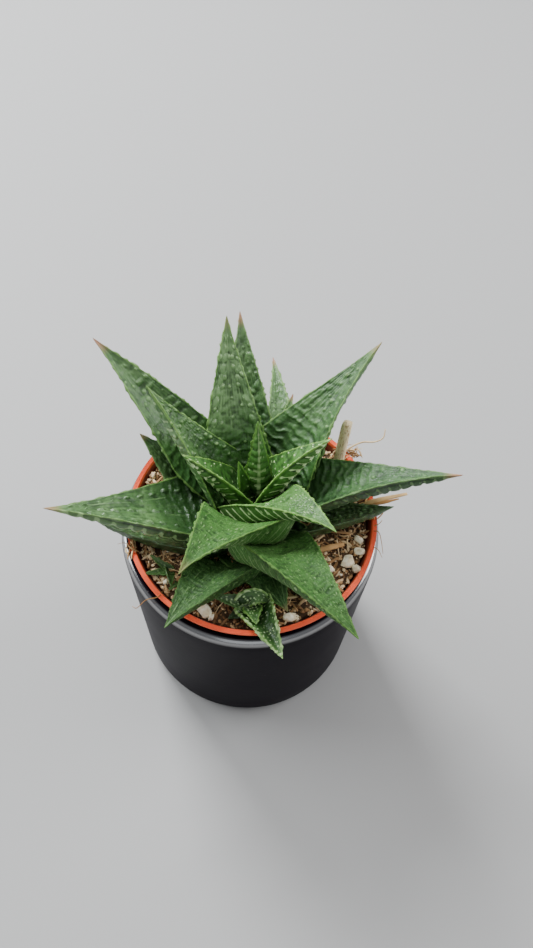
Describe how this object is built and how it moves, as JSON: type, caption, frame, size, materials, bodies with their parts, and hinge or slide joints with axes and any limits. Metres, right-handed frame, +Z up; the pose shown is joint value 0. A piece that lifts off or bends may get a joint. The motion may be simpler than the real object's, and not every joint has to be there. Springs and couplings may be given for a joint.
{
  "type": "potted haworthia",
  "caption": "Small succulent with a rosette of pointed, ridged leaves in a plastic nursery pot, standing in a round black glazed ceramic pot.",
  "frame": {"origin": "centre of the ceramic pot's flat base, at table level", "axes": "+Z up; +X to the right and +Y away from the viewer, as the reference picture shows the plant"},
  "size_m": [0.1251, 0.1133, 0.1329],
  "materials": {
    "black_glaze": "satin glaze",
    "terracotta_plastic": "matte",
    "potting_soil": "loose coir and bark",
    "young_leaf": "waxy, with raised bars",
    "old_leaf": "waxy, with raised tubercles",
    "dry_stalk": "dry",
    "perlite": "rough"
  },
  "bodies": {
    "root": {"ceramic_pot": "black_glaze", "flower_stalk": "dry_stalk", "leaf_back": "young_leaf", "leaf_back_left": "old_leaf", "leaf_back_left_lower": "old_leaf", "leaf_back_left_upper": "young_leaf", "leaf_back_lower": "old_leaf", "leaf_back_right": "old_leaf", "leaf_back_right_lower": "old_leaf", "leaf_back_small": "old_leaf", "leaf_front_left_lower": "old_leaf", "leaf_front_left_upper": "young_leaf", "leaf_front_lower": "old_leaf", "leaf_front_right": "young_leaf", "leaf_front_right_lower": "old_leaf", "leaf_front_right_upper": "young_leaf", "leaf_heart": "young_leaf", "leaf_heart_small": "young_leaf", "leaf_inner_left": "young_leaf", "leaf_inner_right": "young_leaf", "leaf_left": "old_leaf", "leaf_left_lower": "old_leaf", "leaf_right": "old_leaf", "leaf_right_back_lower": "old_leaf", "leaf_right_lower": "old_leaf", "nursery_pot": "terracotta_plastic", "offset_front": "old_leaf", "offset_left": "old_leaf", "perlite_front_chip": "perlite", "perlite_front_shell": "perlite", "perlite_right_back": "perlite", "perlite_right_large": "perlite", "perlite_right_middle": "perlite", "soil": "potting_soil", "stem": "dry_stalk", "straw": "dry_stalk"}
  },
  "joints": []
}
